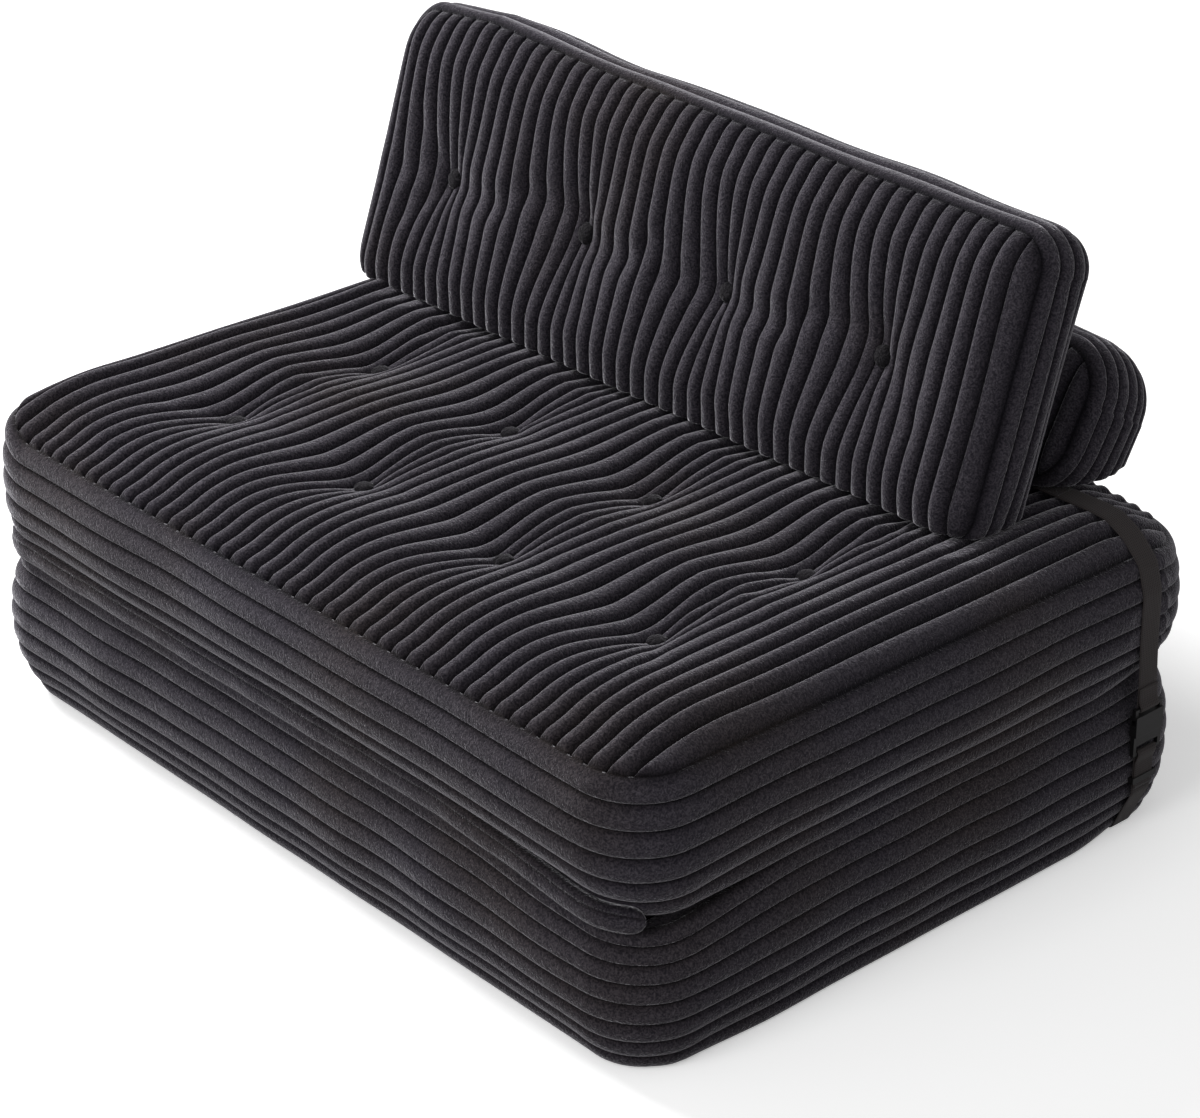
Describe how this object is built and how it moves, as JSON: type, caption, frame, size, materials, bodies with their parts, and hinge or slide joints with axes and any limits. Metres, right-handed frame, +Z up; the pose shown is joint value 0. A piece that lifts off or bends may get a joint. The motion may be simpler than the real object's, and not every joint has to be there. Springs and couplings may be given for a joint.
{
  "type": "floor sofa bed",
  "caption": "Folding floor sofa bed of two ribbed plush foam slabs hinged along the front, with two loose back cushions and side straps",
  "frame": {"origin": "middle of the flat underside of the lower slab", "axes": "+X to the right across the width seen from the front, +Y to the back, +Z up"},
  "size_m": [1.2351, 0.923, 0.7182],
  "materials": {
    "ribbed_plush": "deep pile ribbed fleece",
    "button_plush": "covered buttons",
    "foam": "open cell foam",
    "thread": "twisted tufting thread",
    "webbing": "woven webbing",
    "buckle_plastic": "moulded acetal",
    "zip_metal": "cast zip slider"
  },
  "bodies": {
    "lower_section": {"lower_cover": "ribbed_plush", "lower_foam_core": "foam", "lower_zip_chain": "buckle_plastic", "hinge_strip_lower": "ribbed_plush", "right_lower_webbing": "webbing", "left_lower_webbing": "webbing", "right_buckle_plug": "buckle_plastic", "left_buckle_plug": "buckle_plastic"},
    "seat_section": {"seat_cover": "ribbed_plush", "seat_foam_core": "foam", "seat_buttons": "button_plush", "seat_tufting_ties": "thread", "seat_tuft_washers": "buckle_plastic", "seat_zip_chain": "buckle_plastic", "hinge_strip_upper": "ribbed_plush", "right_upper_webbing": "webbing", "left_upper_webbing": "webbing", "right_buckle_socket": "buckle_plastic", "left_buckle_socket": "buckle_plastic"},
    "front_cushion": {"front_cushion_cover": "ribbed_plush", "front_cushion_foam": "foam", "front_cushion_buttons": "button_plush", "front_cushion_ties": "thread", "front_cushion_washers": "buckle_plastic", "front_cushion_zip_chain": "buckle_plastic"},
    "rear_cushion": {"rear_cushion_cover": "ribbed_plush", "rear_cushion_foam": "foam", "rear_cushion_zip_chain": "buckle_plastic"},
    "lower_slider": {"lower_zip_slider": "zip_metal"},
    "seat_slider": {"seat_zip_slider": "zip_metal"},
    "front_cushion_slider": {"front_cushion_zip_slider": "zip_metal"},
    "rear_cushion_slider": {"rear_cushion_zip_slider": "zip_metal"},
    "right_front_arm": {"right_front_latch": "buckle_plastic"},
    "right_rear_arm": {"right_rear_latch": "buckle_plastic"},
    "left_front_arm": {"left_front_latch": "buckle_plastic"},
    "left_rear_arm": {"left_rear_latch": "buckle_plastic"},
    "right_keeper": {"right_strap_keeper": "buckle_plastic"},
    "left_keeper": {"left_strap_keeper": "buckle_plastic"}
  },
  "joints": [
    {"name": "seat_fold", "type": "hinge", "parent": "lower_section", "child": "seat_section", "pos_m": [0, -0.442, 0.19815], "axis": [1, 0, 0], "range_deg": [0, 180]},
    {"name": "front_cushion_lift", "type": "slide", "parent": "seat_section", "child": "front_cushion", "axis": [0, 0, 1], "range_m": [0, 0.4]},
    {"name": "rear_cushion_lift", "type": "slide", "parent": "seat_section", "child": "rear_cushion", "axis": [0, 0.5, 0.866], "range_m": [0, 0.4]},
    {"name": "lower_zip_travel", "type": "slide", "parent": "lower_section", "child": "lower_slider", "axis": [-1, 0, 0], "range_m": [0, 0.88]},
    {"name": "seat_zip_travel", "type": "slide", "parent": "seat_section", "child": "seat_slider", "axis": [-1, 0, 0], "range_m": [0, 0.88]},
    {"name": "front_cushion_zip_travel", "type": "slide", "parent": "front_cushion", "child": "front_cushion_slider", "axis": [-1, 0, 0], "range_m": [0, 0.78]},
    {"name": "rear_cushion_zip_travel", "type": "slide", "parent": "rear_cushion", "child": "rear_cushion_slider", "axis": [-1, 0, 0], "range_m": [0, 0.78]},
    {"name": "right_front_latch_press", "type": "hinge", "parent": "lower_section", "child": "right_front_arm", "pos_m": [0.6053, 0.317, 0.141], "axis": [-1, 0, 0], "range_deg": [0, 14], "stiffness_Nm_per_rad": 0.05},
    {"name": "right_rear_latch_press", "type": "hinge", "parent": "lower_section", "child": "right_rear_arm", "pos_m": [0.6053, 0.339, 0.141], "axis": [1, 0, 0], "range_deg": [0, 14], "stiffness_Nm_per_rad": 0.05},
    {"name": "left_front_latch_press", "type": "hinge", "parent": "lower_section", "child": "left_front_arm", "pos_m": [-0.6053, 0.317, 0.141], "axis": [-1, 0, 0], "range_deg": [0, 14], "stiffness_Nm_per_rad": 0.05},
    {"name": "left_rear_latch_press", "type": "hinge", "parent": "lower_section", "child": "left_rear_arm", "pos_m": [-0.6053, 0.339, 0.141], "axis": [1, 0, 0], "range_deg": [0, 14], "stiffness_Nm_per_rad": 0.05},
    {"name": "right_keeper_travel", "type": "slide", "parent": "lower_section", "child": "right_keeper", "axis": [0, 0, 1], "range_m": [-0.01, 0.01]},
    {"name": "left_keeper_travel", "type": "slide", "parent": "lower_section", "child": "left_keeper", "axis": [0, 0, 1], "range_m": [-0.01, 0.01]}
  ]
}
